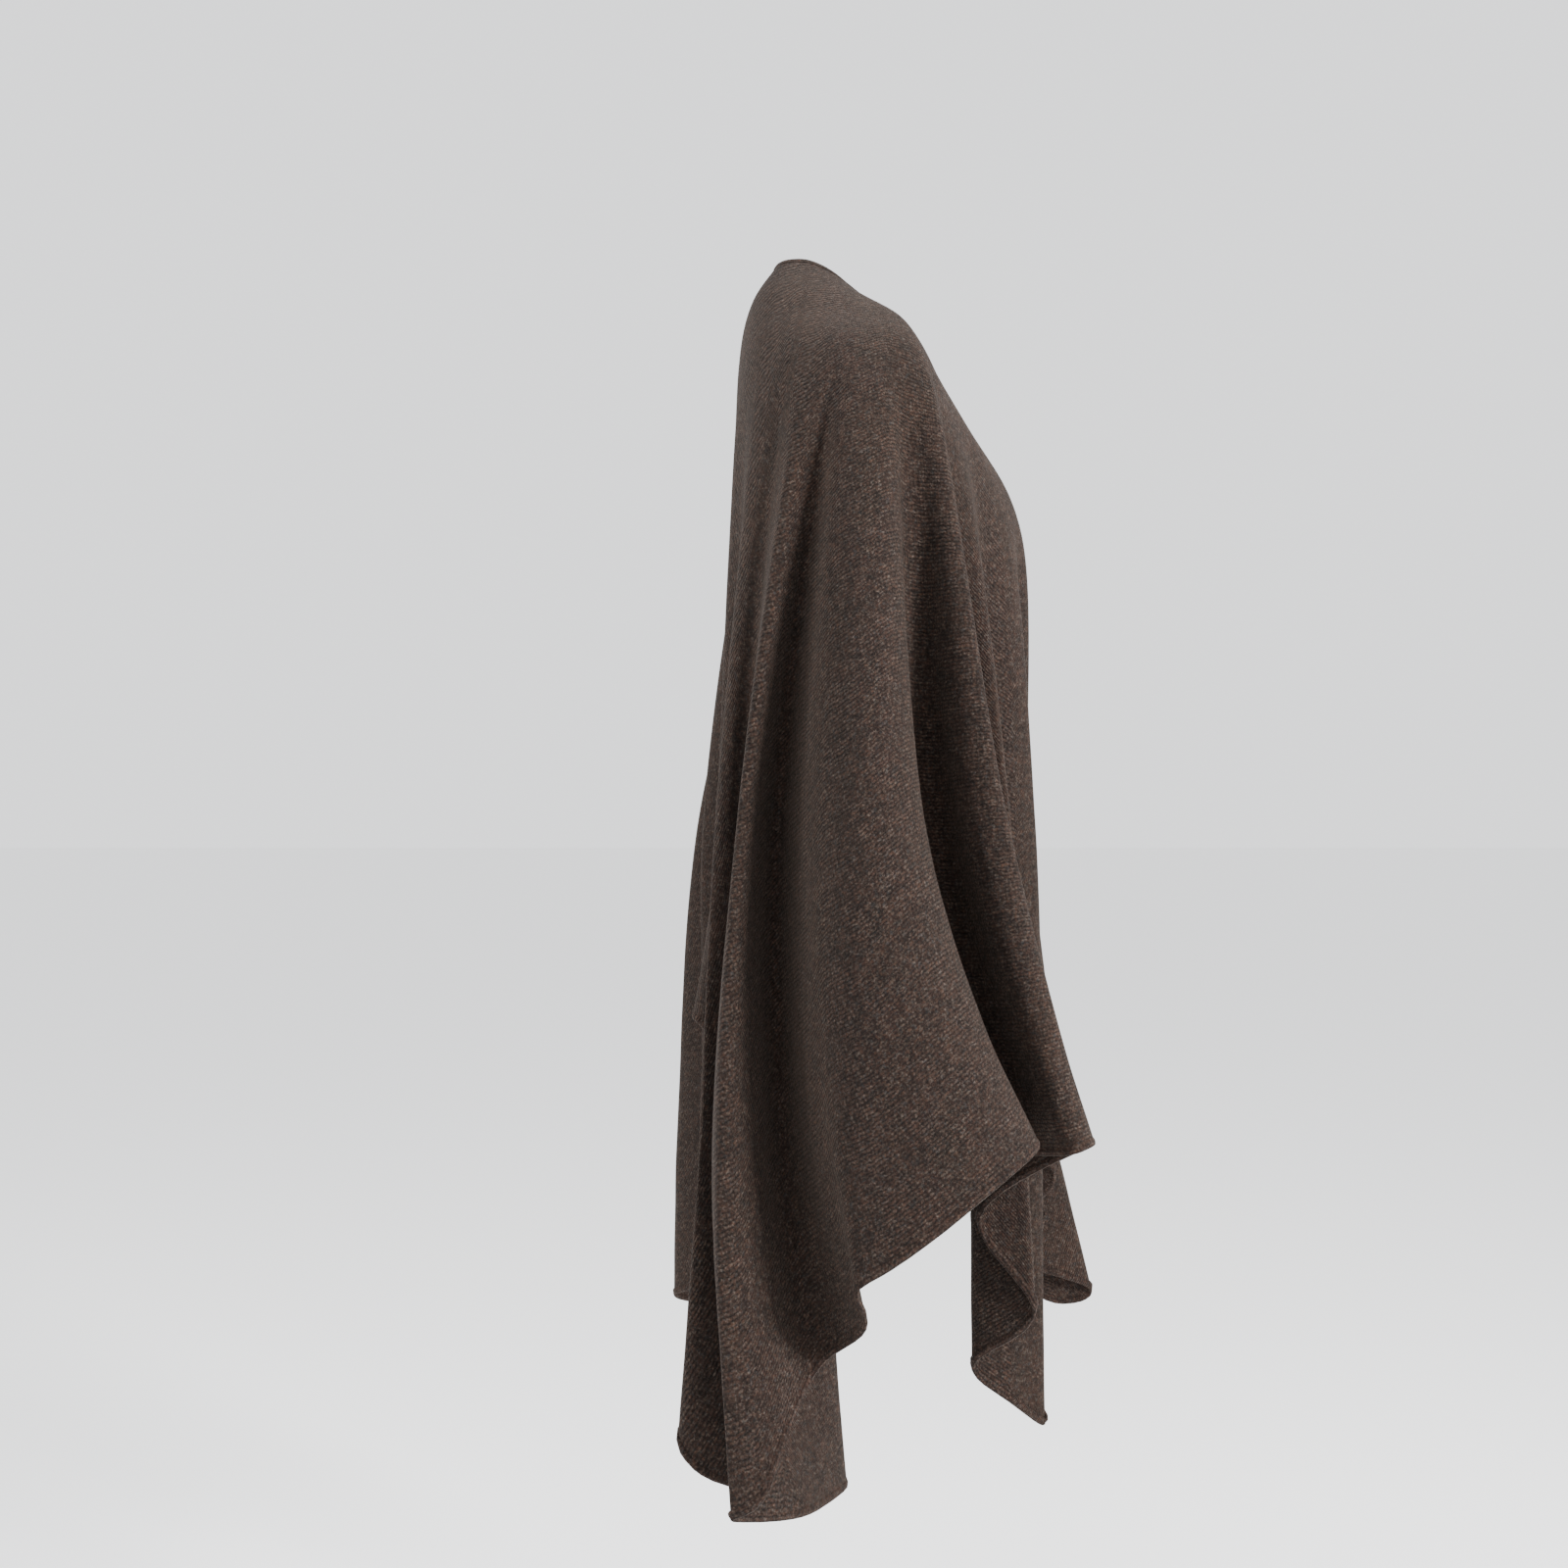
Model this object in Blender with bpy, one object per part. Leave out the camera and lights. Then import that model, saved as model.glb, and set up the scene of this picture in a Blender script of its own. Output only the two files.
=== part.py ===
"""Ruana wrap: one knitted rectangle, slit up the middle of the front, in the form it takes when it is worn.

Metres, +Z up. The wearer faces -Y and the wearer's right arm is at -X. The origin is the middle of the
base of the neck. The cloth is drawn as a set of fold lines. Each fold line leaves the neckline, rests on the
chest, shoulder or back, and falls from there to its place on the cut edge. The surface is carried smoothly
from one fold line to the next, and then given the thickness of the knit.
"""

import bpy
import numpy as np

# The cut
HALF_WIDTH = 0.84  # centre line to side edge
FRONT_LENGTH = 0.66  # shoulder line to front hem
BACK_LENGTH = 0.66  # shoulder line to back hem
SLIT_HALF = 0.010  # centre line to either front edge

# The drape
WALL = 0.0022  # thickness of the knit
BEND = 0.0095  # how far along the cloth a fold is rounded off
WAIST_Z = -0.45  # height at which the folds are placed a second time
LOW_SHARE = 0.6  # how far down from waist to hem the folds are placed a third time

# The faceting
RIB_STEPS = 18  # facets along each fold line
TOP_GATHER = 1.2  # closer facets near the neck than near the hem
FINE_STEP = 0.003  # the spacing across the folds at which they are rounded off
FACET_WIDTH = 0.070  # widest facet across the folds on flat cloth, between waist and hem
FACET_TURN = 0.86  # greatest turn of the cloth in one facet on a fold, in radians

CUT_EDGE = (HALF_WIDTH - SLIT_HALF) + FRONT_LENGTH + BACK_LENGTH + HALF_WIDTH

# Where the cloth lies on the wearer's right half, by share of the way along the cut edge that a fold line ends
# at, from the front edge (0) round the arm to the middle of the back (1). The left half is its mirror image.
FIGURE = (
    # share, neck x, neck y, neck z, top x, top y, top z, rest x, rest y, rest z
    (0.00, -0.020, -0.154, -0.235, -0.0205, -0.155, -0.262, -0.021, -0.156, -0.290),
    (0.06, -0.030, -0.136, -0.180, -0.037, -0.150, -0.207, -0.043, -0.157, -0.240),
    (0.14, -0.042, -0.106, -0.115, -0.055, -0.134, -0.156, -0.068, -0.154, -0.208),
    (0.23, -0.052, -0.072, -0.068, -0.078, -0.103, -0.112, -0.100, -0.137, -0.182),
    (0.31, -0.058, -0.050, -0.034, -0.102, -0.076, -0.077, -0.133, -0.105, -0.142),
    (0.39, -0.061, -0.034, -0.012, -0.128, -0.061, -0.052, -0.168, -0.078, -0.113),
    (0.46, -0.061, -0.020, -0.002, -0.140, -0.049, -0.040, -0.188, -0.064, -0.093),
    (0.54, -0.059, -0.006, 0.010, -0.142, -0.030, -0.034, -0.196, -0.034, -0.084),
    (0.62, -0.056, 0.006, 0.021, -0.140, -0.010, -0.031, -0.196, -0.004, -0.082),
    (0.70, -0.050, 0.018, 0.030, -0.130, 0.013, -0.026, -0.188, 0.020, -0.084),
    (0.78, -0.042, 0.030, 0.036, -0.113, 0.036, -0.020, -0.170, 0.046, -0.088),
    (0.86, -0.030, 0.044, 0.039, -0.082, 0.060, -0.010, -0.132, 0.073, -0.086),
    (0.93, -0.015, 0.052, 0.040, -0.045, 0.073, 0.000, -0.075, 0.085, -0.068),
    (1.00, 0.000, 0.054, 0.039, 0.000, 0.075, 0.006, 0.000, 0.086, -0.050),
)

# The folds of the right half, front edge to the middle of the back. Edge is the way along the cut edge.
RIGHT_FOLDS = (
    # name, edge, waist x, waist y, low x, low y, hem x, hem y, hem z
    ("front edge", 0.00, -0.008, -0.154, -0.008, -0.160, -0.010, -0.166, -0.630),
    ("front roll", 0.11, -0.030, -0.168, -0.032, -0.182, -0.035, -0.192, -0.660),
    ("front dip", 0.25, -0.049, -0.112, -0.051, -0.110, -0.053, -0.118, -0.715),
    ("front swell", 0.40, -0.066, -0.162, -0.068, -0.170, -0.068, -0.174, -0.790),
    ("point dip", 0.56, -0.085, -0.112, -0.088, -0.110, -0.090, -0.120, -0.866),
    ("point ridge", 0.72, -0.103, -0.163, -0.106, -0.170, -0.108, -0.174, -0.953),
    ("front corner", 0.83, -0.122, -0.144, -0.123, -0.142, -0.124, -0.140, -0.926),
    ("point fold", 0.92, -0.138, -0.106, -0.134, -0.103, -0.134, -0.104, -0.894),
    ("inner ridge", 1.05, -0.171, -0.134, -0.167, -0.146, -0.166, -0.154, -0.843),
    ("hidden dip", 1.20, -0.168, -0.088, -0.167, -0.098, -0.170, -0.106, -0.765),
    ("arm ridge", 1.34, -0.236, -0.127, -0.238, -0.164, -0.235, -0.194, -0.690),
    ("arm strip", 1.39, -0.234, -0.100, -0.252, -0.140, -0.258, -0.173, -0.695),
    ("arm valley", 1.48, -0.190, -0.078, -0.202, -0.110, -0.214, -0.142, -0.704),
    ("valley back", 1.54, -0.196, -0.052, -0.208, -0.082, -0.222, -0.124, -0.700),
    ("panel contour", 1.62, -0.248, -0.060, -0.263, -0.101, -0.269, -0.144, -0.687),
    ("panel front", 1.68, -0.283, -0.043, -0.301, -0.078, -0.306, -0.112, -0.706),
    ("panel middle", 1.75, -0.291, -0.018, -0.311, -0.040, -0.317, -0.064, -0.743),
    ("panel rear", 1.81, -0.284, 0.003, -0.303, -0.007, -0.308, -0.022, -0.775),
    ("soft crease", 1.85, -0.266, 0.018, -0.284, 0.013, -0.302, -0.001, -0.788),
    ("crease foot", 1.89, -0.252, 0.027, -0.266, 0.021, -0.284, -0.014, -0.818),
    ("rear valley", 1.98, -0.184, 0.052, -0.194, 0.047, -0.238, 0.022, -0.862),
    ("valley slope", 2.06, -0.212, 0.068, -0.236, 0.067, -0.264, 0.046, -0.902),
    ("back corner", 2.15, -0.232, 0.076, -0.262, 0.084, -0.287, 0.068, -0.957),
    ("back ridge", 2.19, -0.238, 0.083, -0.271, 0.099, -0.288, 0.098, -0.959),
    ("ridge return", 2.26, -0.204, 0.082, -0.218, 0.093, -0.228, 0.034, -0.980),
    ("return turn", 2.33, -0.150, 0.074, -0.134, 0.012, -0.160, -0.004, -0.977),
    ("back band", 2.42, -0.154, 0.096, -0.172, 0.102, -0.198, 0.100, -0.966),
    ("band ridge", 2.49, -0.148, 0.105, -0.176, 0.120, -0.184, 0.134, -0.941),
    ("back dip", 2.61, -0.104, 0.081, -0.116, 0.074, -0.132, 0.066, -0.860),
    ("back swell", 2.73, -0.084, 0.105, -0.092, 0.116, -0.100, 0.122, -0.780),
    ("centre dip", 2.86, -0.044, 0.078, -0.046, 0.070, -0.050, 0.064, -0.690),
)

CENTRE_BACK = ("centre back", CUT_EDGE, -0.004, 0.106, -0.006, 0.120, -0.008, 0.132, -0.620)

# The folds of the left half, with x counted from the middle out to the left.
LEFT_FOLDS = (
    # name, edge, waist x, waist y, low x, low y, hem x, hem y, hem z
    ("front edge", 0.00, 0.016, -0.155, 0.017, -0.162, 0.020, -0.170, -0.635),
    ("front roll", 0.12, 0.044, -0.168, 0.054, -0.184, 0.062, -0.198, -0.665),
    ("front dip", 0.25, 0.066, -0.112, 0.078, -0.108, 0.088, -0.108, -0.715),
    ("front swell", 0.40, 0.086, -0.160, 0.104, -0.190, 0.118, -0.214, -0.790),
    ("point dip", 0.55, 0.112, -0.112, 0.132, -0.122, 0.148, -0.142, -0.860),
    ("point ridge", 0.71, 0.138, -0.162, 0.172, -0.214, 0.190, -0.262, -0.918),
    ("front corner", 0.83, 0.156, -0.142, 0.184, -0.186, 0.196, -0.222, -0.932),
    ("point fold", 0.94, 0.160, -0.096, 0.171, -0.112, 0.179, -0.134, -0.846),
    ("inner ridge", 1.08, 0.215, -0.138, 0.236, -0.168, 0.251, -0.195, -0.800),
    ("hidden dip", 1.21, 0.210, -0.070, 0.220, -0.078, 0.226, -0.090, -0.745),
    ("arm ridge", 1.34, 0.270, -0.102, 0.292, -0.132, 0.302, -0.164, -0.700),
    ("arm dip", 1.45, 0.244, -0.040, 0.256, -0.052, 0.264, -0.072, -0.706),
    ("panel front", 1.55, 0.294, -0.046, 0.314, -0.066, 0.322, -0.090, -0.706),
    ("panel middle", 1.65, 0.298, -0.016, 0.318, -0.028, 0.328, -0.044, -0.735),
    ("panel rear", 1.75, 0.272, 0.012, 0.292, 0.008, 0.302, 0.000, -0.775),
    ("rear valley", 1.86, 0.176, 0.028, 0.180, 0.020, 0.200, 0.010, -0.825),
    ("rear ridge", 1.97, 0.244, 0.062, 0.270, 0.066, 0.286, 0.064, -0.880),
    ("rear dip", 2.08, 0.184, 0.070, 0.194, 0.066, 0.206, 0.058, -0.920),
    ("back corner", 2.15, 0.206, 0.100, 0.244, 0.112, 0.266, 0.110, -0.950),
    ("back ridge", 2.24, 0.172, 0.132, 0.217, 0.155, 0.248, 0.163, -0.937),
    ("back dip", 2.40, 0.120, 0.080, 0.138, 0.070, 0.152, 0.058, -0.880),
    ("back swell", 2.57, 0.092, 0.125, 0.108, 0.126, 0.122, 0.127, -0.800),
    ("centre dip", 2.77, 0.044, 0.076, 0.050, 0.068, 0.056, 0.062, -0.690),
)


def smooth_curve(points, at):
    """Points on a smooth curve through the given ones, at places counted in whole points along it."""
    points = np.asarray(points, float)
    ends = np.vstack([2 * points[0] - points[1], points, 2 * points[-1] - points[-2]])
    gaps = np.sqrt(np.linalg.norm(np.diff(ends, axis=0), axis=1)) + 1e-9
    out = []
    for place in at:
        i = min(int(place), len(points) - 2)
        u = place - i
        before, start, end, after = ends[i : i + 4]
        g0, g1, g2 = gaps[i : i + 3]
        leave = ((start - before) / g0 - (end - before) / (g0 + g1) + (end - start) / g1) * g1
        arrive = ((end - start) / g1 - (after - start) / (g1 + g2) + (after - end) / g2) * g1
        out.append(
            (2 * u**3 - 3 * u**2 + 1) * start
            + (u**3 - 2 * u**2 + u) * leave
            + (3 * u**2 - 2 * u**3) * end
            + (u**3 - u**2) * arrive
        )
    return np.array(out)


def figure_at(share, side):
    """Where a fold line starts, passes and rests on the figure; side is -1 on the right and 1 on the left."""
    table = np.array(FIGURE)
    index = np.interp(share, table[:, 0], np.arange(len(table)))
    row = smooth_curve(table[:, 1:], [index])[0]
    return [point * (-side, 1.0, 1.0) for point in row.reshape(3, 3)]


def fold_line(fold, side):
    """Evenly stepped points of one fold line, from the neckline to the hem."""
    _, edge, waist_x, waist_y, low_x, low_y, hem_x, hem_y, hem_z = fold
    low_z = WAIST_Z + LOW_SHARE * (hem_z - WAIST_Z)
    marks = figure_at(edge / CUT_EDGE, side)
    marks += [(waist_x, waist_y, WAIST_Z), (low_x, low_y, low_z), (hem_x, hem_y, hem_z)]
    dense = smooth_curve(marks, np.linspace(0, len(marks) - 1, 161))
    run = np.concatenate([[0], np.cumsum(np.linalg.norm(np.diff(dense, axis=0), axis=1))])
    want = run[-1] * np.linspace(0, 1, RIB_STEPS + 1) ** TOP_GATHER
    return np.stack([np.interp(want, run, dense[:, k]) for k in range(3)], axis=1)


def soften(rings):
    """The rings with every fold rounded off, and their two ends left where they are."""
    reach = int(3 * BEND / FINE_STEP)
    weights = np.exp(-0.5 * (np.arange(-reach, reach + 1) * FINE_STEP / BEND) ** 2)
    weights /= weights.sum()
    before = 2 * rings[:, :1] - rings[:, reach:0:-1]
    after = 2 * rings[:, -1:] - rings[:, -2 : -reach - 2 : -1]
    padded = np.concatenate([before, rings, after], axis=1)
    count = rings.shape[1]
    return sum(weight * padded[:, k : k + count] for k, weight in enumerate(weights))


def facet_columns(ring):
    """Where across the folds the facets meet: close together on folds, further apart on flat cloth."""
    steps = np.diff(ring, axis=0)
    length = np.linalg.norm(steps, axis=1)
    along = steps / length[:, None]
    turn = np.arccos(np.clip((along[1:] * along[:-1]).sum(axis=1), -1, 1))
    turn = np.concatenate([[0], turn])
    need = np.concatenate([[0], np.cumsum(length / FACET_WIDTH + turn / FACET_TURN)])
    want = np.linspace(0, need[-1], int(np.ceil(need[-1])) + 1)
    return np.unique(np.round(np.interp(want, need, np.arange(len(need)))).astype(int))


def drape():
    """The cloth's middle surface as a grid of points: one row across all the folds for each step down."""
    lines = [fold_line(fold, -1) for fold in RIGHT_FOLDS]
    lines.append(fold_line(CENTRE_BACK, -1))
    lines += [fold_line(fold, 1) for fold in reversed(LEFT_FOLDS)]
    lines = np.array(lines)
    lower = RIB_STEPS * 3 // 4
    rough = np.linspace(0, len(lines) - 1, 20 * len(lines))
    run = np.linalg.norm(np.diff(smooth_curve(lines[:, lower], rough), axis=0), axis=1)
    run = np.concatenate([[0], np.cumsum(run)])
    places = np.interp(np.arange(0, run[-1], FINE_STEP), run, rough)
    places[-1] = len(lines) - 1
    rings = soften(np.array([smooth_curve(ring, places) for ring in lines.transpose(1, 0, 2)]))
    return rings[:, facet_columns(rings[lower])]


def facing(grid):
    """The direction that the outside of the cloth faces at each point of the grid."""
    down = np.gradient(grid, axis=0)
    across = np.gradient(grid, axis=1)
    normal = np.cross(across, down)
    return normal / np.linalg.norm(normal, axis=2, keepdims=True)


def thick_cloth(name, grid, colour):
    """One closed body: the grid moved out and in by half the wall, joined round the edges."""
    rows, columns = grid.shape[:2]
    normal = facing(grid)
    layers = np.concatenate(
        [(grid + normal * WALL / 2).reshape(-1, 3), (grid - normal * WALL / 2).reshape(-1, 3)]
    )
    inner = rows * columns

    def at(row, column):
        return row * columns + column

    faces = []
    for row in range(rows - 1):
        for column in range(columns - 1):
            a, b = at(row, column), at(row, column + 1)
            c, d = at(row + 1, column + 1), at(row + 1, column)
            short = np.linalg.norm(layers[a] - layers[c]) <= np.linalg.norm(layers[b] - layers[d])
            for triangle in ((a, d, c), (a, c, b)) if short else ((a, d, b), (b, d, c)):
                faces.append(triangle[::-1])
                faces.append(tuple(v + inner for v in triangle))
    rim = [at(0, column) for column in range(columns)]
    rim += [at(row, columns - 1) for row in range(1, rows)]
    rim += [at(rows - 1, column) for column in range(columns - 2, -1, -1)]
    rim += [at(row, 0) for row in range(rows - 2, 0, -1)]
    for a, b in zip(rim, rim[1:] + rim[:1]):
        faces.append((b, a, a + inner))
        faces.append((b, a + inner, b + inner))

    mesh = bpy.data.meshes.new(name)
    mesh.from_pydata([tuple(point) for point in layers], [], faces)
    mesh.validate()
    mesh.update()
    cloth = bpy.data.objects.new(name, mesh)
    bpy.context.scene.collection.objects.link(cloth)
    material = bpy.data.materials.new(name)
    material.use_nodes = True
    shader = material.node_tree.nodes["Principled BSDF"]
    shader.inputs["Base Color"].default_value = (*colour, 1.0)
    shader.inputs["Roughness"].default_value = 0.95
    mesh.materials.append(material)
    return cloth


def main():
    for thing in list(bpy.data.objects):
        bpy.data.objects.remove(thing)
    thick_cloth("wrap_cloth", drape(), (0.050, 0.036, 0.031))


main()
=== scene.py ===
"""Ruana wrap: the look of a dark brown heathered wool knit, on the form of one knitted rectangle worn open.

Metres, +Z up. The wearer faces -Y and the wearer's right arm is at -X. The origin is the middle of the base
of the neck. The cloth follows the same fold lines as the solid that it stands for, at a finer step. Every
point of it also knows its place on the flat rectangle, so the knit runs as it does on the real cloth.
"""

import bpy
import numpy as np
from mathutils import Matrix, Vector, noise

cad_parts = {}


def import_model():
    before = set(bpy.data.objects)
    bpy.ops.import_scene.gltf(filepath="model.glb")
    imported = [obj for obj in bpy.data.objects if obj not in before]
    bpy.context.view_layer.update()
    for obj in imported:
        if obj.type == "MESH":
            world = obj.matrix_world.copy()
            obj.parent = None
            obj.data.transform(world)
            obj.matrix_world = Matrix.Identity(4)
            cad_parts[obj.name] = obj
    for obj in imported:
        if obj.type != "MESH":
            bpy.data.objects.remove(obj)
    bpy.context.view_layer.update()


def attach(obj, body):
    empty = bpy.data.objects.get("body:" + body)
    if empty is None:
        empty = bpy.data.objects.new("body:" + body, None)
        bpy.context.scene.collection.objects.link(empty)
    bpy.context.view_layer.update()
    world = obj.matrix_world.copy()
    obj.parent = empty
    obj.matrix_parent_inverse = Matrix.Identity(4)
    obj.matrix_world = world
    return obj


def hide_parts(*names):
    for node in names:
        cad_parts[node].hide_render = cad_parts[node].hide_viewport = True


# The cut
HALF_WIDTH = 0.84  # centre line to side edge
FRONT_LENGTH = 0.66  # shoulder line to front hem
BACK_LENGTH = 0.66  # shoulder line to back hem
SLIT_HALF = 0.010  # centre line to either front edge

# The drape
WALL = 0.0020  # thickness of the knit
TINY = 1e-9  # keeps a division by a length of nothing finite
BEND = 0.0095  # how far along the cloth a fold is rounded off
WAIST_Z = -0.45  # height at which the folds are placed a second time
LOW_SHARE = 0.6  # how far down from waist to hem the folds are placed a third time

# The mesh
LINE_SAMPLES = 160  # close steps in which a fold line is measured before it is stepped evenly
RIB_STEPS = 100  # steps along each fold line
TOP_GATHER = 1.12  # closer steps near the neck than near the hem
FOLD_ROW = RIB_STEPS * 3 // 4  # the step down the cloth at which the way across the folds is measured
ROUGH_STEPS = 20  # steps across each fold with which the way across the folds is first measured
FINE_STEP = 0.002  # the spacing across the folds at which they are rounded off
SOFTEN_REACH = 3  # how many times BEND the rounding of a fold reaches to either side
FACET_WIDTH = 0.024  # widest step across the folds on flat cloth, between waist and hem
FACET_TURN = 0.27  # greatest turn of the cloth in one step on a fold, in radians

# Unevenness of the fall: size along the edge, size along the fold line, and how far the cloth moves
RIPPLES = (
    # across, along, depth
    (0.075, 0.42, 0.0030),
    (0.030, 0.16, 0.0011),
    (0.012, 0.05, 0.0004),
)
RIPPLE_START = 0.75  # share of a fold line, from the neck, over which the unevenness comes in
RIPPLE_SPREAD = 1e4  # times the depth, how far apart the three sizes lie in the noise

# The turned hem
HEM_WIDTH = 0.0072  # from the cut edge inwards
HEM_THICKNESS = 0.0038
HEM_SIDES = 10  # steps round the turned edge

# The knit
WALE_PITCH = 0.0033  # from one rib of stitches to the next, across the arms
COURSE_PITCH = 0.0042  # from one row of stitches to the next
WALE_LEAN = 1.1  # how far the stitches slope across a rib, in radians of the row of stitches
WANDER = 0.0042  # how far the stitches stray from straight rows
WANDER_SCALE = 160.0
NOISE_DETAIL = 2.0  # finer layers in the noise of stitches and fibres
RIB_SHARE = 0.72  # the ribs' share of the relief of the stitches; the rest is the rows'
WORN_SHARE = 0.55  # the share of that relief that is lost where the knit is brushed most
FELT_RELIEF = 0.60  # relief of the felted surface where the knit is brushed most
FIBRE_RELIEF = 0.8  # relief of the single fibres
BUMP_DEPTH = 0.0012  # depth of the whole relief
BUMP_STRENGTH = 0.8

# Uneven wool, as noise in space: between low and high it goes from none to all
GRAIN = {
    # scale, detail, roughness, low, high
    "patch": (9.0, 2.0, 0.5, 0.50, 0.70),
    "worn": (38.0, 3.0, 0.6, 0.34, 0.66),
    "cloud": (60.0, 4.0, 0.65, 0.30, 0.70),
    "clump": (190.0, 3.0, 0.7, 0.30, 0.70),
}
FELT_SCALE = 700.0
FIBRE_SCALE = 1000.0
FIBRE_ROUGHNESS = 0.6
PATCH_STRENGTH = 0.35  # how rusty the warm patches are

# Painted shade: the yarn is darker in the grooves between stitches, where shade falls, and it goes darker
# and lighter at random in spots the size of clumps of fibres and of single fibres
SHADES = (
    # where, how much it varies, how much stays at the darkest
    ("relief", 1.45, 0.08),
    ("clump", 0.85, 0.55),
    ("fibre", 1.5, 0.25),
)

# Yarn colours, as linear colour
YARN = {
    "ground": (0.0155, 0.0082, 0.0062),
    "deep": (0.0082, 0.0046, 0.0036),
    "grey": (0.0500, 0.0420, 0.0370),
    "rust": (0.0215, 0.0112, 0.0078),
    "slate": (0.0160, 0.0145, 0.0148),
    "tan": (0.0345, 0.0255, 0.0200),
}
CLOTH_TINT = (0.82, 0.785, 0.73)
HEM_TINT = (0.86, 0.79, 0.73)
WOOL_ROUGHNESS = 0.92
WOOL_SPECULAR = 0.12
SHEEN_WEIGHT = 0.05
SHEEN_ROUGHNESS = 0.45
SHEEN_TINT = (0.70, 0.55, 0.45, 1.0)

# The fibres of the heather, laid over the ground in this order
FLECKS = (
    # yarn, scale, offset, where they start, where they are full, strength
    ("slate", 340.0, 11.3, 0.52, 0.70, 1.0),
    ("rust", 300.0, 7.9, 0.52, 0.68, 1.0),
    ("tan", 440.0, 3.7, 0.48, 0.74, 0.65),
    ("grey", 520.0, 0.0, 0.48, 0.78, 0.75),
)

# The studio
FLOOR_Z = -1.47  # how far the floor is below the neck of a standing adult
FLOOR_REACH = 30.0  # from the middle to each side
FLOOR_ROUGHNESS = 0.9
FLOOR_COLOUR = (0.93, 0.93, 0.93)
SURROUND_COLOUR = (0.97, 0.98, 1.0, 1.0)
SURROUND_STRENGTH = 1.65
LIGHTS_AIM = (-0.1, 0.0, -0.45)  # the middle of the wrap, a little to the side that is seen
LIGHTS = (
    # name, place, size, watts
    ("key", (-1.9, -2.3, 0.5), 0.7, 290.0),
    ("top", (-0.6, 0.5, 2.0), 1.4, 60.0),
    ("side", (-0.3, 2.5, 0.5), 1.2, 60.0),
)
CAMERA_AT = (-1.70, 0.048, -0.417)
CAMERA_LOOKS = (1, 0, 0)  # level, and square to the side of the wrap
LENS_MM = 43.99
FILM_MM = 36.0

CUT_EDGE = (HALF_WIDTH - SLIT_HALF) + FRONT_LENGTH + BACK_LENGTH + HALF_WIDTH

# Where the cloth lies on the wearer's right half, by share of the way along the cut edge that a fold line
# ends at, from the front edge (0) round the arm to the middle of the back (1). The left half mirrors it.
FIGURE = (
    # share, neck x, neck y, neck z, top x, top y, top z, rest x, rest y, rest z
    (0.00, -0.020, -0.154, -0.235, -0.0205, -0.155, -0.262, -0.021, -0.156, -0.290),
    (0.06, -0.030, -0.136, -0.180, -0.037, -0.150, -0.207, -0.043, -0.157, -0.240),
    (0.14, -0.042, -0.106, -0.115, -0.055, -0.134, -0.156, -0.068, -0.154, -0.208),
    (0.23, -0.052, -0.072, -0.068, -0.078, -0.103, -0.112, -0.100, -0.137, -0.182),
    (0.31, -0.058, -0.050, -0.034, -0.102, -0.076, -0.077, -0.133, -0.105, -0.142),
    (0.39, -0.061, -0.034, -0.012, -0.128, -0.061, -0.052, -0.168, -0.078, -0.113),
    (0.46, -0.061, -0.020, -0.002, -0.140, -0.049, -0.040, -0.188, -0.064, -0.093),
    (0.54, -0.059, -0.006, 0.010, -0.142, -0.030, -0.034, -0.196, -0.034, -0.084),
    (0.62, -0.056, 0.006, 0.021, -0.140, -0.010, -0.031, -0.196, -0.004, -0.082),
    (0.70, -0.050, 0.018, 0.030, -0.130, 0.013, -0.026, -0.188, 0.020, -0.084),
    (0.78, -0.042, 0.030, 0.036, -0.113, 0.036, -0.020, -0.170, 0.046, -0.088),
    (0.86, -0.030, 0.044, 0.039, -0.082, 0.060, -0.010, -0.132, 0.073, -0.086),
    (0.93, -0.015, 0.052, 0.040, -0.045, 0.073, 0.000, -0.075, 0.085, -0.068),
    (1.00, 0.000, 0.054, 0.039, 0.000, 0.075, 0.006, 0.000, 0.086, -0.050),
)

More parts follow.
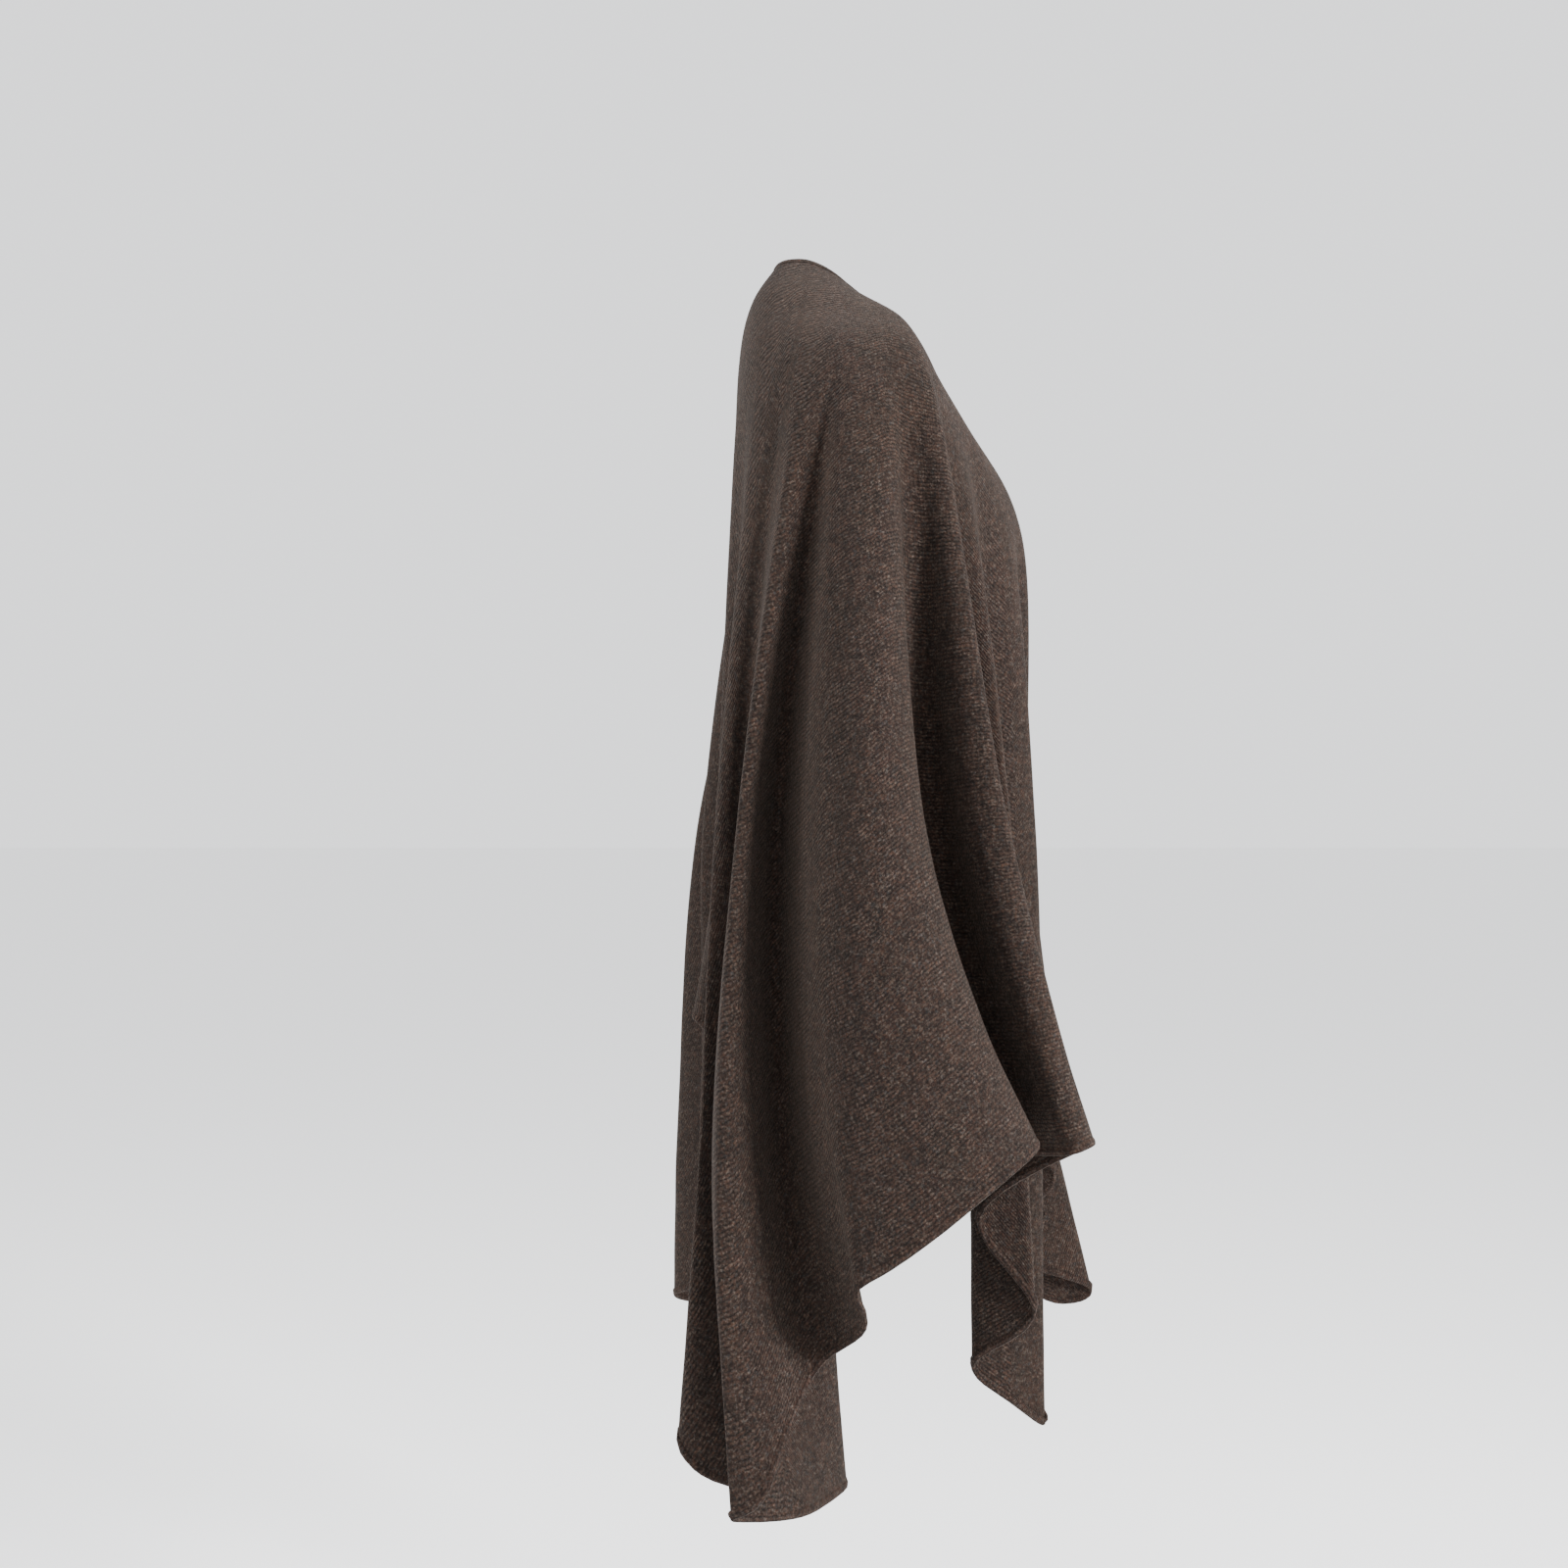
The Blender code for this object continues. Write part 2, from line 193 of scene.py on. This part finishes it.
# The folds of the right half, front edge to the middle of the back. Edge is the way along the cut edge.
RIGHT_FOLDS = (
    # name, edge, waist x, waist y, low x, low y, hem x, hem y, hem z
    ("front edge", 0.00, -0.008, -0.154, -0.008, -0.160, -0.010, -0.166, -0.630),
    ("front roll", 0.11, -0.030, -0.168, -0.032, -0.182, -0.035, -0.192, -0.660),
    ("front dip", 0.25, -0.049, -0.112, -0.051, -0.110, -0.053, -0.118, -0.715),
    ("front swell", 0.40, -0.066, -0.162, -0.068, -0.170, -0.068, -0.174, -0.790),
    ("point dip", 0.56, -0.085, -0.112, -0.088, -0.110, -0.090, -0.120, -0.866),
    ("point ridge", 0.72, -0.103, -0.163, -0.106, -0.170, -0.108, -0.174, -0.953),
    ("front corner", 0.83, -0.122, -0.144, -0.123, -0.142, -0.124, -0.140, -0.926),
    ("point fold", 0.92, -0.138, -0.106, -0.134, -0.103, -0.134, -0.104, -0.894),
    ("inner ridge", 1.05, -0.171, -0.134, -0.167, -0.146, -0.166, -0.154, -0.843),
    ("hidden dip", 1.20, -0.168, -0.088, -0.167, -0.098, -0.170, -0.106, -0.765),
    ("arm ridge", 1.34, -0.236, -0.127, -0.238, -0.164, -0.235, -0.194, -0.690),
    ("arm strip", 1.39, -0.234, -0.100, -0.252, -0.140, -0.258, -0.173, -0.695),
    ("arm valley", 1.48, -0.190, -0.078, -0.202, -0.110, -0.214, -0.142, -0.704),
    ("valley back", 1.54, -0.196, -0.052, -0.208, -0.082, -0.222, -0.124, -0.700),
    ("panel contour", 1.62, -0.248, -0.060, -0.263, -0.101, -0.269, -0.144, -0.687),
    ("panel front", 1.68, -0.283, -0.043, -0.301, -0.078, -0.306, -0.112, -0.706),
    ("panel middle", 1.75, -0.291, -0.018, -0.311, -0.040, -0.317, -0.064, -0.743),
    ("panel rear", 1.81, -0.284, 0.003, -0.303, -0.007, -0.308, -0.022, -0.775),
    ("soft crease", 1.85, -0.266, 0.018, -0.284, 0.013, -0.302, -0.001, -0.788),
    ("crease foot", 1.89, -0.252, 0.027, -0.266, 0.021, -0.284, -0.014, -0.818),
    ("rear valley", 1.98, -0.184, 0.052, -0.194, 0.047, -0.238, 0.022, -0.862),
    ("valley slope", 2.06, -0.212, 0.068, -0.236, 0.067, -0.264, 0.046, -0.902),
    ("back corner", 2.15, -0.232, 0.076, -0.262, 0.084, -0.287, 0.068, -0.957),
    ("back ridge", 2.19, -0.238, 0.083, -0.271, 0.099, -0.288, 0.098, -0.959),
    ("ridge return", 2.26, -0.204, 0.082, -0.218, 0.093, -0.228, 0.034, -0.980),
    ("return turn", 2.33, -0.150, 0.074, -0.134, 0.012, -0.160, -0.004, -0.977),
    ("back band", 2.42, -0.154, 0.096, -0.172, 0.102, -0.198, 0.100, -0.966),
    ("band ridge", 2.49, -0.148, 0.105, -0.176, 0.120, -0.184, 0.134, -0.941),
    ("back dip", 2.61, -0.104, 0.081, -0.116, 0.074, -0.132, 0.066, -0.860),
    ("back swell", 2.73, -0.084, 0.105, -0.092, 0.116, -0.100, 0.122, -0.780),
    ("centre dip", 2.86, -0.044, 0.078, -0.046, 0.070, -0.050, 0.064, -0.690),
)

CENTRE_BACK = ("centre back", CUT_EDGE, -0.004, 0.106, -0.006, 0.120, -0.008, 0.132, -0.620)

# The folds of the left half, with x counted from the middle out to the left.
LEFT_FOLDS = (
    # name, edge, waist x, waist y, low x, low y, hem x, hem y, hem z
    ("front edge", 0.00, 0.016, -0.155, 0.017, -0.162, 0.020, -0.170, -0.635),
    ("front roll", 0.12, 0.044, -0.168, 0.054, -0.184, 0.062, -0.198, -0.665),
    ("front dip", 0.25, 0.066, -0.112, 0.078, -0.108, 0.088, -0.108, -0.715),
    ("front swell", 0.40, 0.086, -0.160, 0.104, -0.190, 0.118, -0.214, -0.790),
    ("point dip", 0.55, 0.112, -0.112, 0.132, -0.122, 0.148, -0.142, -0.860),
    ("point ridge", 0.71, 0.138, -0.162, 0.172, -0.214, 0.190, -0.262, -0.918),
    ("front corner", 0.83, 0.156, -0.142, 0.184, -0.186, 0.196, -0.222, -0.932),
    ("point fold", 0.94, 0.160, -0.096, 0.171, -0.112, 0.179, -0.134, -0.846),
    ("inner ridge", 1.08, 0.215, -0.138, 0.236, -0.168, 0.251, -0.195, -0.800),
    ("hidden dip", 1.21, 0.210, -0.070, 0.220, -0.078, 0.226, -0.090, -0.745),
    ("arm ridge", 1.34, 0.270, -0.102, 0.292, -0.132, 0.302, -0.164, -0.700),
    ("arm dip", 1.45, 0.244, -0.040, 0.256, -0.052, 0.264, -0.072, -0.706),
    ("panel front", 1.55, 0.294, -0.046, 0.314, -0.066, 0.322, -0.090, -0.706),
    ("panel middle", 1.65, 0.298, -0.016, 0.318, -0.028, 0.328, -0.044, -0.735),
    ("panel rear", 1.75, 0.272, 0.012, 0.292, 0.008, 0.302, 0.000, -0.775),
    ("rear valley", 1.86, 0.176, 0.028, 0.180, 0.020, 0.200, 0.010, -0.825),
    ("rear ridge", 1.97, 0.244, 0.062, 0.270, 0.066, 0.286, 0.064, -0.880),
    ("rear dip", 2.08, 0.184, 0.070, 0.194, 0.066, 0.206, 0.058, -0.920),
    ("back corner", 2.15, 0.206, 0.100, 0.244, 0.112, 0.266, 0.110, -0.950),
    ("back ridge", 2.24, 0.172, 0.132, 0.217, 0.155, 0.248, 0.163, -0.937),
    ("back dip", 2.40, 0.120, 0.080, 0.138, 0.070, 0.152, 0.058, -0.880),
    ("back swell", 2.57, 0.092, 0.125, 0.108, 0.126, 0.122, 0.127, -0.800),
    ("centre dip", 2.77, 0.044, 0.076, 0.050, 0.068, 0.056, 0.062, -0.690),
)

# The folds that lie at a corner of the cloth or at its middle, and their way round the whole cut edge
CORNERS = (
    # fold, side, way round
    ("front edge", -1, 0.0),
    ("front corner", -1, HALF_WIDTH - SLIT_HALF),
    ("ridge return", -1, CUT_EDGE - HALF_WIDTH),
    ("centre back", -1, CUT_EDGE),
    ("back corner", 1, CUT_EDGE + HALF_WIDTH),
    ("front corner", 1, 2 * CUT_EDGE - HALF_WIDTH + SLIT_HALF),
    ("front edge", 1, 2 * CUT_EDGE),
)


def smooth_curve(points, at):
    """Points on a smooth curve through the given ones, at places counted in whole points along it."""
    points = np.asarray(points, float)
    ends = np.vstack([2 * points[0] - points[1], points, 2 * points[-1] - points[-2]])
    gaps = np.sqrt(np.linalg.norm(np.diff(ends, axis=0), axis=1)) + TINY
    out = []
    for place in at:
        i = min(int(place), len(points) - 2)
        u = place - i
        before, start, end, after = ends[i : i + 4]
        g0, g1, g2 = gaps[i : i + 3]
        leave = ((start - before) / g0 - (end - before) / (g0 + g1) + (end - start) / g1) * g1
        arrive = ((end - start) / g1 - (after - start) / (g1 + g2) + (after - end) / g2) * g1
        out.append(
            (2 * u**3 - 3 * u**2 + 1) * start
            + (u**3 - 2 * u**2 + u) * leave
            + (3 * u**2 - 2 * u**3) * end
            + (u**3 - u**2) * arrive
        )
    return np.array(out)


def figure_at(share, side):
    """Where a fold line starts, passes and rests on the shoulders; side is -1 right and 1 left."""
    table = np.array(FIGURE)
    index = np.interp(share, table[:, 0], np.arange(len(table)))
    row = smooth_curve(table[:, 1:], [index])[0]
    return [point * (-side, 1.0, 1.0) for point in row.reshape(3, 3)]


def way_along(points):
    """How far along a line each of its points lies."""
    return np.concatenate([[0], np.cumsum(np.linalg.norm(np.diff(points, axis=0), axis=1))])


def steps_down():
    """The steps from neck (0) to hem (1), closer together near the neck."""
    return np.linspace(0, 1, RIB_STEPS + 1) ** TOP_GATHER


def fold_line(fold, side):
    """Evenly stepped points of one fold line, from the neckline to the hem."""
    _, edge, waist_x, waist_y, low_x, low_y, hem_x, hem_y, hem_z = fold
    low_z = WAIST_Z + LOW_SHARE * (hem_z - WAIST_Z)
    marks = figure_at(edge / CUT_EDGE, side)
    marks += [(waist_x, waist_y, WAIST_Z), (low_x, low_y, low_z), (hem_x, hem_y, hem_z)]
    dense = smooth_curve(marks, np.linspace(0, len(marks) - 1, LINE_SAMPLES + 1))
    run = way_along(dense)
    want = run[-1] * steps_down()
    return np.stack([np.interp(want, run, dense[:, k]) for k in range(3)], axis=1)


def soften(rings):
    """The rings with every fold rounded off, and their two ends left where they are."""
    reach = int(SOFTEN_REACH * BEND / FINE_STEP)
    weights = np.exp(-0.5 * (np.arange(-reach, reach + 1) * FINE_STEP / BEND) ** 2)
    weights /= weights.sum()
    before = 2 * rings[:, :1] - rings[:, reach:0:-1]
    after = 2 * rings[:, -1:] - rings[:, -2 : -reach - 2 : -1]
    padded = np.concatenate([before, rings, after], axis=1)
    count = rings.shape[1]
    return sum(weight * padded[:, k : k + count] for k, weight in enumerate(weights))


def step_columns(ring):
    """Where across the folds the steps fall: close together on folds, further apart on flat cloth."""
    steps = np.diff(ring, axis=0)
    length = np.linalg.norm(steps, axis=1)
    along = steps / length[:, None]
    turn = np.arccos(np.clip((along[1:] * along[:-1]).sum(axis=1), -1, 1))
    turn = np.concatenate([[0], turn])
    need = np.concatenate([[0], np.cumsum(length / FACET_WIDTH + turn / FACET_TURN)])
    want = np.linspace(0, need[-1], int(np.ceil(need[-1])) + 1)
    return np.unique(np.round(np.interp(want, need, np.arange(len(need)))).astype(int))


def cut_point(edge):
    """The place on the flat rectangle of a point on its cut edge, right half: across, lengthwise."""
    corner = HALF_WIDTH - SLIT_HALF
    side = corner + FRONT_LENGTH + BACK_LENGTH
    if edge <= corner:
        return SLIT_HALF + edge, -FRONT_LENGTH
    if edge <= side:
        return HALF_WIDTH, edge - corner - FRONT_LENGTH
    return HALF_WIDTH - (edge - side), BACK_LENGTH


def flat_places(edges, sides):
    """The flat place of the neck end and of the hem end of each column."""
    table = np.array(FIGURE)
    gaps = np.linalg.norm(np.diff(table[:, 1:4], axis=0), axis=1)
    down_slit = np.concatenate([[0], np.cumsum(gaps[::-1])])[::-1]
    share = edges / CUT_EDGE
    lengthwise = -np.interp(share, table[:, 0], down_slit)
    neck = np.stack([-sides * np.minimum(SLIT_HALF, -lengthwise), lengthwise], axis=1)
    hem = np.array([cut_point(edge) for edge in edges])
    hem[:, 0] *= -sides
    return neck, hem


def drape():
    """The cloth's middle surface as a grid of points, and the flat place of each point."""
    folds = [(fold, -1) for fold in RIGHT_FOLDS] + [(CENTRE_BACK, -1)]
    folds += [(fold, 1) for fold in reversed(LEFT_FOLDS)]
    lines = np.array([fold_line(fold, side) for fold, side in folds])
    rough = np.linspace(0, len(lines) - 1, ROUGH_STEPS * len(lines))
    run = way_along(smooth_curve(lines[:, FOLD_ROW], rough))
    places = np.interp(np.arange(0, run[-1], FINE_STEP), run, rough)
    places[-1] = len(lines) - 1
    rings = soften(np.array([smooth_curve(ring, places) for ring in lines.transpose(1, 0, 2)]))
    columns = step_columns(rings[FOLD_ROW])
    grid = rings[:, columns]

    # The knit is spread evenly between one corner of the cloth and the next
    run = way_along(rings[FOLD_ROW])[columns]
    names = [(fold[0], side) for fold, side in folds]
    known = [names.index((name, side)) for name, side, _ in CORNERS]
    edge = np.interp(run, np.interp(known, places[columns], run), [way for _, _, way in CORNERS])
    sides = np.where(edge <= CUT_EDGE, -1, 1)
    neck, hem = flat_places(np.where(edge <= CUT_EDGE, edge, 2 * CUT_EDGE - edge), sides)
    down = steps_down()[:, None, None]
    flat = neck * (1 - down) + hem * down
    return ripple(grid, edge), flat


def ripple(grid, edge):
    """The grid with the small unevenness of real cloth, none at the neck and most towards the hem."""
    normal = facing(grid)
    down = steps_down()
    start = np.clip(down / RIPPLE_START, 0, 1) ** 2
    move = np.zeros(grid.shape[:2])
    for across, along, depth in RIPPLES:
        layer = depth * RIPPLE_SPREAD
        for row, share in enumerate(down):
            for column, place in enumerate(edge):
                move[row, column] += depth * noise.noise((place / across, share / along, layer))
    return grid + normal * (move * start[:, None])[:, :, None]


def facing(grid):
    """The direction that the outside of the cloth faces at each point of the grid."""
    down = np.gradient(grid, axis=0)
    across = np.gradient(grid, axis=1)
    normal = np.cross(across, down)
    return normal / np.linalg.norm(normal, axis=2, keepdims=True)


def border(rows, columns):
    """The row and column of each point round the edge of the grid, in order."""
    rim = [(0, column) for column in range(columns)]
    rim += [(row, columns - 1) for row in range(1, rows)]
    rim += [(rows - 1, column) for column in range(columns - 2, -1, -1)]
    rim += [(row, 0) for row in range(rows - 2, 0, -1)]
    return rim


def new_piece(name, points, faces, places, material):
    """A smooth mesh piece whose texture places are given for every point."""
    mesh = bpy.data.meshes.new(name)
    mesh.from_pydata([tuple(point) for point in points], [], faces)
    mesh.polygons.foreach_set("use_smooth", [True] * len(mesh.polygons))
    layer = mesh.uv_layers.new(name="flat_cut")
    corner = np.empty(len(mesh.loops), int)
    mesh.loops.foreach_get("vertex_index", corner)
    size = np.array([2 * HALF_WIDTH, FRONT_LENGTH + BACK_LENGTH])
    layer.data.foreach_set("uv", (places[corner] / size + 0.5).ravel())
    mesh.update()
    mesh.materials.append(material)
    piece = bpy.data.objects.new(name, mesh)
    bpy.context.scene.collection.objects.link(piece)
    return piece


def cloth_piece(grid, flat, material):
    """The knit as a closed thin shell round the grid."""
    rows, columns = grid.shape[:2]
    normal = facing(grid)
    points = np.concatenate(
        [(grid + normal * WALL / 2).reshape(-1, 3), (grid - normal * WALL / 2).reshape(-1, 3)]
    )
    inner = rows * columns
    faces = []
    for row in range(rows - 1):
        for column in range(columns - 1):
            a = row * columns + column
            quad = (a, a + 1, a + 1 + columns, a + columns)
            faces.append(quad)
            faces.append(tuple(v + inner for v in quad[::-1]))
    rim = [row * columns + column for row, column in border(rows, columns)]
    for a, b in zip(rim, rim[1:] + rim[:1]):
        faces.append((b, a, a + inner, b + inner))
    places = np.tile(flat.reshape(-1, 2), (2, 1))
    return new_piece("knit_cloth", points, faces, places, material)


def hem_piece(grid, flat, material):
    """The turned edge: a flattened tube that follows the edge of the cloth all the way round."""
    rows, columns = grid.shape[:2]
    normal = facing(grid)
    rim = border(rows, columns)
    centre = np.array([grid[at] for at in rim])
    up = np.array([normal[at] for at in rim])
    place = np.array([flat[at] for at in rim])
    ahead = np.roll(centre, -1, axis=0) - np.roll(centre, 1, axis=0)
    ahead /= np.linalg.norm(ahead, axis=1, keepdims=True)
    inward = np.cross(up, ahead)
    inward /= np.linalg.norm(inward, axis=1, keepdims=True)
    up = np.cross(ahead, inward)
    flat_ahead = np.roll(place, -1, axis=0) - np.roll(place, 1, axis=0)
    flat_in = np.stack([-flat_ahead[:, 1], flat_ahead[:, 0]], axis=1)
    flat_in /= np.linalg.norm(flat_in, axis=1, keepdims=True) + TINY
    points, places, faces = [], [], []
    angles = np.linspace(0, 2 * np.pi, HEM_SIDES, endpoint=False)
    for i in range(len(rim)):
        for angle in angles:
            reach = HEM_WIDTH / 2 * (1 + np.cos(angle)) - WALL / 2
            rise = HEM_THICKNESS / 2 * np.sin(angle)
            points.append(centre[i] + inward[i] * reach + up[i] * rise)
            places.append(place[i] + flat_in[i] * reach)
    for i in range(len(rim)):
        j = (i + 1) % len(rim)
        for k in range(HEM_SIDES):
            m = (k + 1) % HEM_SIDES
            near, far = i * HEM_SIDES, j * HEM_SIDES
            faces.append((near + k, far + k, far + m, near + m))
    return new_piece("turned_hem", np.array(points), faces, np.array(places), material)


class Nodes:
    """Short ways to add and join nodes of one material."""

    def __init__(self, name):
        self.material = bpy.data.materials.new(name)
        self.material.use_nodes = True
        self.tree = self.material.node_tree
        self.shader = self.tree.nodes["Principled BSDF"]

    def add(self, kind, links=(), **settings):
        """A new node; links gives each of its sockets another node's output or a value."""
        node = self.tree.nodes.new(kind)
        for key, value in settings.items():
            setattr(node, key, value)
        for socket, source in dict(links).items():
            if isinstance(source, bpy.types.NodeSocket):
                self.tree.links.new(source, node.inputs[socket])
            else:
                node.inputs[socket].default_value = source
        return node

    def math(self, operation, a, b=0.0):
        return self.add("ShaderNodeMath", {0: a, 1: b}, operation=operation).outputs[0]

    def vector(self, operation, a, b):
        return self.add("ShaderNodeVectorMath", {0: a, 1: b}, operation=operation).outputs[0]

    def noise(self, place, scale, detail, roughness):
        links = {"Vector": place, "Scale": scale, "Detail": detail, "Roughness": roughness}
        return self.add("ShaderNodeTexNoise", links).outputs["Fac"]

    def grain(self, place, name):
        """How far one kind of unevenness goes at a place, 0 to 1."""
        scale, detail, roughness, low, high = GRAIN[name]
        return self.ramp(self.noise(place, scale, detail, roughness), low, high)

    def fibres(self, place, scale):
        """The fine noise of fibres."""
        return self.noise(place, scale, NOISE_DETAIL, FIBRE_ROUGHNESS)

    def moved(self, place, step):
        """The same place some way off, so that two noises of it have nothing in common."""
        return self.vector("ADD", place, (step, step, step))

    def ramp(self, value, low, high):
        """0 below low, 1 above high, smooth between."""
        links = {"Value": value, "From Min": low, "From Max": high}
        return self.add("ShaderNodeMapRange", links, interpolation_type="SMOOTHSTEP").outputs["Result"]

    def mix(self, factor, a, b, blend="MIX"):
        """Colour a with colour b laid over it."""
        node = self.add("ShaderNodeMix", data_type="RGBA", blend_type=blend)
        for socket, source in ((node.inputs[0], factor), (node.inputs[6], a), (node.inputs[7], b)):
            if isinstance(source, bpy.types.NodeSocket):
                self.tree.links.new(source, socket)
            elif isinstance(source, tuple):
                socket.default_value = (*source, 1.0)
            else:
                socket.default_value = source
        return node.outputs[2]


def stitch_relief(n, solid):
    """Ribs and rows of stitches on the flat cut, lower and felted where the knit is brushed most."""
    uv = n.add("ShaderNodeUVMap", uv_map="flat_cut").outputs["UV"]
    size = (2 * HALF_WIDTH, FRONT_LENGTH + BACK_LENGTH, 1.0)
    flat = n.add("ShaderNodeMapping", {"Vector": uv, "Scale": size}).outputs["Vector"]
    links = {"Vector": flat, "Scale": WANDER_SCALE, "Detail": NOISE_DETAIL}
    shift = n.add("ShaderNodeTexNoise", links).outputs["Color"]
    centred = n.vector("SUBTRACT", shift, (0.5, 0.5, 0.5))
    links = {0: centred, "Scale": WANDER}
    stray = n.add("ShaderNodeVectorMath", links, operation="SCALE").outputs[0]
    split = n.add("ShaderNodeSeparateXYZ", {"Vector": n.vector("ADD", flat, stray)})

    rib_turn = n.math("MULTIPLY", split.outputs["X"], np.pi / WALE_PITCH)
    rib = n.math("ABSOLUTE", n.math("SINE", rib_turn))
    row_turn = n.math("MULTIPLY", split.outputs["Y"], np.pi / COURSE_PITCH)
    row_turn = n.math("ADD", row_turn, n.math("MULTIPLY", rib, WALE_LEAN))
    row = n.math("ABSOLUTE", n.math("SINE", row_turn))
    stitches = n.math("MULTIPLY", rib, RIB_SHARE)
    stitches = n.math("ADD", stitches, n.math("MULTIPLY", row, 1 - RIB_SHARE))

    worn = n.grain(solid, "worn")
    left = n.math("SUBTRACT", 1.0, n.math("MULTIPLY", worn, WORN_SHARE))
    felted = n.math("MULTIPLY", n.fibres(solid, FELT_SCALE), n.math("MULTIPLY", worn, FELT_RELIEF))
    return n.math("ADD", n.math("MULTIPLY", stitches, left), felted)


def heather(n, solid):
    """The yarn colours, mixed in clouds, patches and single fibres."""
    colour = n.mix(n.grain(solid, "cloud"), YARN["deep"], YARN["ground"])
    warm = n.math("MULTIPLY", n.grain(solid, "patch"), PATCH_STRENGTH)
    colour = n.mix(warm, colour, YARN["rust"])
    for yarn, scale, offset, start, full, strength in FLECKS:
        fleck = n.ramp(n.fibres(n.moved(solid, offset), scale), start, full)
        colour = n.mix(n.math("MULTIPLY", fleck, strength), colour, YARN[yarn])
    return colour


def knit_material(name, tint):
    """Brushed heathered wool: ribs of stitches with painted shade in their grooves, and fibres of several
    colours all over.
    """
    n = Nodes(name)
    solid = n.add("ShaderNodeTexCoord").outputs["Object"]
    relief = stitch_relief(n, solid)
    fibre = n.fibres(solid, FIBRE_SCALE)
    sources = {"relief": relief, "clump": n.grain(solid, "clump"), "fibre": fibre}
    # Painted shade in the grooves between stitches, times random darkening by clumps of fibres and single
    # fibres
    shade = 1.0
    for where, varies, stays in SHADES:
        light = n.math("ADD", n.math("MULTIPLY", sources[where], varies), stays)
        shade = n.math("MULTIPLY", light, shade)
    # The painted groove shade and the random tone, as a grey that darkens the yarn colour
    grey = n.add("ShaderNodeCombineColor", {"Red": shade, "Green": shade, "Blue": shade}).outputs[0]
    colour = n.mix(1.0, heather(n, solid), grey, "MULTIPLY")
    colour = n.mix(1.0, colour, tint, "MULTIPLY")
    n.tree.links.new(colour, n.shader.inputs["Base Color"])

    height = n.math("ADD", relief, n.math("MULTIPLY", fibre, FIBRE_RELIEF))
    bump = n.add("ShaderNodeBump", {"Height": height, "Strength": BUMP_STRENGTH, "Distance": BUMP_DEPTH})
    n.tree.links.new(bump.outputs["Normal"], n.shader.inputs["Normal"])
    n.shader.inputs["Roughness"].default_value = WOOL_ROUGHNESS
    n.shader.inputs["Specular IOR Level"].default_value = WOOL_SPECULAR
    n.shader.inputs["Sheen Weight"].default_value = SHEEN_WEIGHT
    n.shader.inputs["Sheen Roughness"].default_value = SHEEN_ROUGHNESS
    n.shader.inputs["Sheen Tint"].default_value = SHEEN_TINT
    return n.material


def plain_material(name, colour):
    """Matt paint of one colour."""
    n = Nodes(name)
    n.shader.inputs["Base Color"].default_value = (*colour, 1.0)
    n.shader.inputs["Roughness"].default_value = FLOOR_ROUGHNESS
    return n.material


def area_light(name, place, size, watts):
    """A round soft light that points at the middle of the wrap."""
    light = bpy.data.lights.new(name, "AREA")
    light.shape = "DISK"
    light.size = size
    light.energy = watts
    lamp = bpy.data.objects.new(name, light)
    lamp.location = place
    lamp.rotation_euler = (Vector(LIGHTS_AIM) - Vector(place)).to_track_quat("-Z", "Y").to_euler()
    bpy.context.scene.collection.objects.link(lamp)


def studio():
    """A pale floor that runs into a pale surround, and soft lights."""
    mesh = bpy.data.meshes.new("floor")
    ways = ((-1, -1), (1, -1), (1, 1), (-1, 1))
    corners = [(x * FLOOR_REACH, y * FLOOR_REACH, FLOOR_Z) for x, y in ways]
    mesh.from_pydata(corners, [], [(0, 1, 2, 3)])
    mesh.materials.append(plain_material("floor_paint", FLOOR_COLOUR))
    floor = bpy.data.objects.new("floor", mesh)
    bpy.context.scene.collection.objects.link(floor)

    world = bpy.data.worlds.new("surround")
    world.use_nodes = True
    background = world.node_tree.nodes["Background"]
    background.inputs["Color"].default_value = SURROUND_COLOUR
    background.inputs["Strength"].default_value = SURROUND_STRENGTH
    bpy.context.scene.world = world

    for name, place, size, watts in LIGHTS:
        area_light(name, place, size, watts)


def photo_camera():
    """The camera at the photo's place, level and square to the wearer's side."""
    camera = bpy.data.cameras.new("camera")
    camera.lens = LENS_MM
    camera.sensor_width = FILM_MM
    holder = bpy.data.objects.new("camera", camera)
    holder.location = CAMERA_AT
    holder.rotation_euler = Vector(CAMERA_LOOKS).to_track_quat("-Z", "Y").to_euler()
    bpy.context.scene.collection.objects.link(holder)
    bpy.context.scene.camera = holder


def main():
    """Builds the wrap and its studio."""
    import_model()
    grid, flat = drape()
    cloth = cloth_piece(grid, flat, knit_material("wool_knit", CLOTH_TINT))
    hem = hem_piece(grid, flat, knit_material("wool_hem", HEM_TINT))
    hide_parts("wrap_cloth")
    for piece in (cloth, hem):
        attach(piece, "root")
    studio()
    photo_camera()


main()
